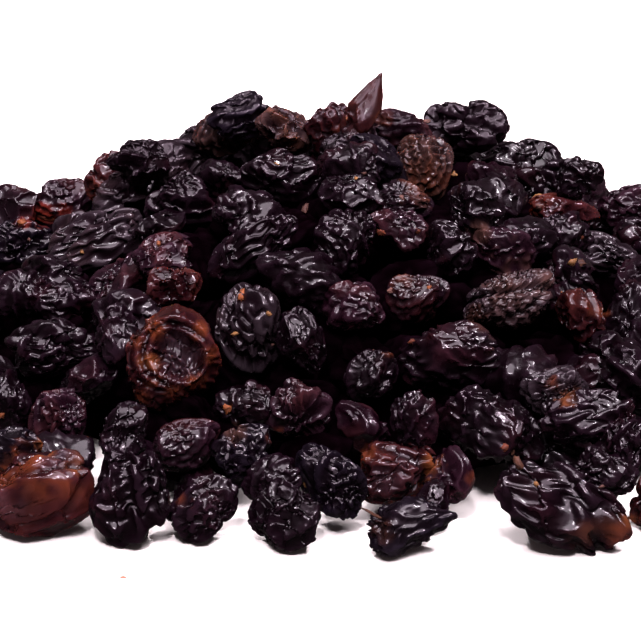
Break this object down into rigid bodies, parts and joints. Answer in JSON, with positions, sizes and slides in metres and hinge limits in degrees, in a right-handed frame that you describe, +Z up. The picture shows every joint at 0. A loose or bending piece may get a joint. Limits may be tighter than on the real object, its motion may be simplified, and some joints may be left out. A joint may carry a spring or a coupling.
{
  "type": "heap of dried currants",
  "caption": "Low, wide heap of small wrinkled dried currants, lying as poured on a flat surface.",
  "frame": {"origin": "on the flat underside, straight below the heap's top", "axes": "+Z up from the surface the heap lies on, -Y towards the side seen in the picture, +X to that side's right"},
  "size_m": [0.1286, 0.114, 0.0334],
  "materials": {
    "currant": "wrinkled semi-gloss dried fruit skin, near black with red-brown ones among them"
  },
  "bodies": {
    "root": {"currant_heap": "currant"}
  },
  "joints": []
}
